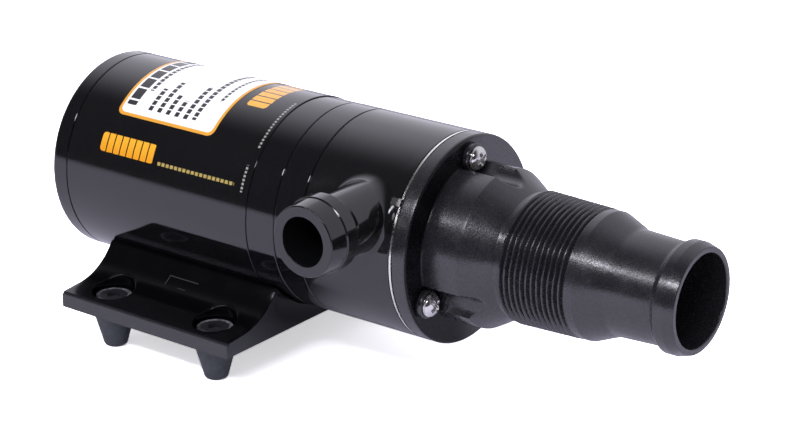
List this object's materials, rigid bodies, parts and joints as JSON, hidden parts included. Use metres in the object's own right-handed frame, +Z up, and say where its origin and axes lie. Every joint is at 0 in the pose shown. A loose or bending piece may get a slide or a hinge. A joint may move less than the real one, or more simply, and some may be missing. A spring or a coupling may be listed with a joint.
{
  "type": "macerator pump",
  "caption": "Motor-driven macerator pump: round motor on a saddle base with rubber feet, side hose barb outlet and a threaded, barbed inlet housing with a cutter inside.",
  "frame": {"origin": "on the floor plane, midway between the four mounting holes", "axes": "+X along the shaft towards the inlet, -Y towards the outlet's side, +Z up"},
  "size_m": [0.2708, 0.1264, 0.0992],
  "materials": {
    "black_paint": "gloss black paint on drawn steel",
    "black_wrap": "gloss black printed wrap, left plain",
    "label_white": "satin white panel, left without words",
    "black_rubber": "matte",
    "foot_rubber": "matte dark grey",
    "zinc_steel": "bright zinc",
    "ferrite": "dull dark ceramic",
    "phenolic": "brown moulded laminate",
    "brass": "satin",
    "carbon": "pressed carbon",
    "spring_steel": "bright",
    "bearing_steel": "ground and polished",
    "cage_steel": "pressed steel",
    "stainless": "brushed stainless",
    "polished_stainless": "polished stainless",
    "lamination_steel": "stacked laminations",
    "copper": "enamelled copper",
    "black_housing": "gloss black moulded body",
    "gasket": "thin sheet",
    "black_nylon": "satin black glass-filled nylon",
    "black_base": "gloss black moulding"
  },
  "bodies": {
    "pump_body": {"motor_can": "black_paint", "label_sleeve": "black_wrap", "label_panel": "label_white", "rear_end_bell": "black_paint", "front_end_bell": "black_paint", "lead_grommet": "black_rubber", "through_bolts": "zinc_steel", "magnets": "ferrite", "brush_card": "phenolic", "brush_card_screws": "zinc_steel", "brush_holders": "brass", "brush_spring_upper": "spring_steel", "brush_spring_lower": "spring_steel", "thermal_protector": "phenolic", "wave_washer": "spring_steel", "front_bearing_circlip": "spring_steel", "rear_bearing_outer_ring": "bearing_steel", "front_bearing_outer_ring": "bearing_steel", "pump_housing": "black_housing", "shaft_seal": "black_rubber", "housing_gasket": "gasket", "wear_plate": "stainless", "inlet_gasket": "gasket", "inlet_housing": "black_nylon", "cover_screws": "polished_stainless", "mounting_base": "black_base", "base_screws": "zinc_steel", "rubber_foot_front_left": "foot_rubber", "rubber_foot_front_right": "foot_rubber", "rubber_foot_back_left": "foot_rubber", "rubber_foot_back_right": "foot_rubber"},
    "rotor": {"shaft": "stainless", "shaft_snap_ring": "spring_steel", "armature_core": "lamination_steel", "armature_windings": "copper", "commutator_hub": "phenolic", "commutator_segments": "copper", "rear_bearing_inner_ring": "bearing_steel", "front_bearing_inner_ring": "bearing_steel", "slinger": "black_rubber", "impeller_insert": "brass", "impeller": "black_rubber", "impeller_drive_pin": "stainless", "cutter_blade": "stainless", "cutter_lock_washer": "stainless", "cutter_nut": "stainless"},
    "upper_brush": {"brush_upper": "carbon"},
    "lower_brush": {"brush_lower": "carbon"},
    "rear_ball_cage": {"rear_bearing_balls": "bearing_steel", "rear_bearing_cage": "cage_steel"},
    "front_ball_cage": {"front_bearing_balls": "bearing_steel", "front_bearing_cage": "cage_steel"}
  },
  "joints": [
    {"name": "rotor_spin", "type": "hinge", "parent": "pump_body", "child": "rotor", "pos_m": [0, 0, 0.0597], "axis": [1, 0, 0], "continuous": true},
    {"name": "rear_cage_spin", "type": "hinge", "parent": "pump_body", "child": "rear_ball_cage", "pos_m": [0, 0, 0.0597], "axis": [1, 0, 0], "continuous": true},
    {"name": "front_cage_spin", "type": "hinge", "parent": "pump_body", "child": "front_ball_cage", "pos_m": [0, 0, 0.0597], "axis": [1, 0, 0], "continuous": true},
    {"name": "upper_brush_slide", "type": "slide", "parent": "pump_body", "child": "upper_brush", "axis": [0, 0, 1], "range_m": [0, 0.003], "stiffness_N_per_m": 40, "springref_m": -0.02, "deforming": ["brush_spring_upper"]},
    {"name": "lower_brush_slide", "type": "slide", "parent": "pump_body", "child": "lower_brush", "axis": [0, 0, -1], "range_m": [0, 0.003], "stiffness_N_per_m": 40, "springref_m": -0.02, "deforming": ["brush_spring_lower"]}
  ],
  "couplings": [
    {"joint": "rear_cage_spin", "follows": "rotor_spin", "ratio": 0.3733},
    {"joint": "front_cage_spin", "follows": "rotor_spin", "ratio": 0.3722}
  ]
}
